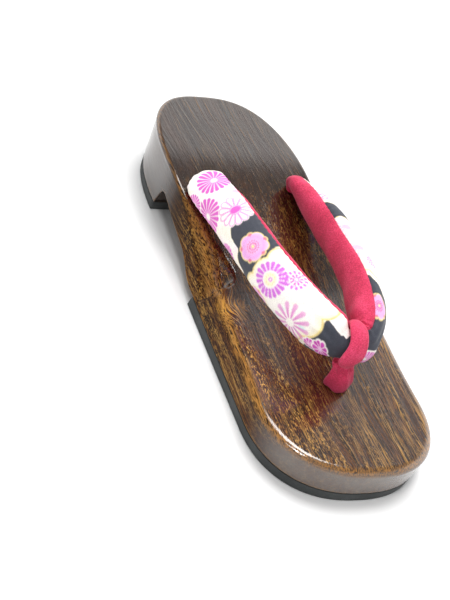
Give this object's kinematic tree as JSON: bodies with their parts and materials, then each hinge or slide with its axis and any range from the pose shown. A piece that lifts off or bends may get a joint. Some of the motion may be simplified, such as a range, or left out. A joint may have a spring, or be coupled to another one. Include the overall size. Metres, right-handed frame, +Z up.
{
  "type": "geta sandal",
  "caption": "Low wooden sandal with a raised heel, an arch cut below, rubber pads and a stuffed V strap held by a toe loop.",
  "frame": {"origin": "centre of the bounding box on the floor, under the two rubber pads", "axes": "+Y along the length towards the heel, toe towards -Y, +X towards the outer side, +Z up"},
  "size_m": [0.0893, 0.2335, 0.0551],
  "materials": {
    "wood": "charred grain under clear gloss varnish",
    "rubber": "matte, fine tread below",
    "print_cloth": "smooth printed cotton with flowers",
    "crimson_cloth": "soft napped cloth"
  },
  "bodies": {
    "root": {"wood_base": "wood", "front_sole": "rubber", "heel_sole": "rubber", "strap_cover": "print_cloth", "strap_backing": "crimson_cloth", "toe_loop": "crimson_cloth"}
  },
  "joints": []
}
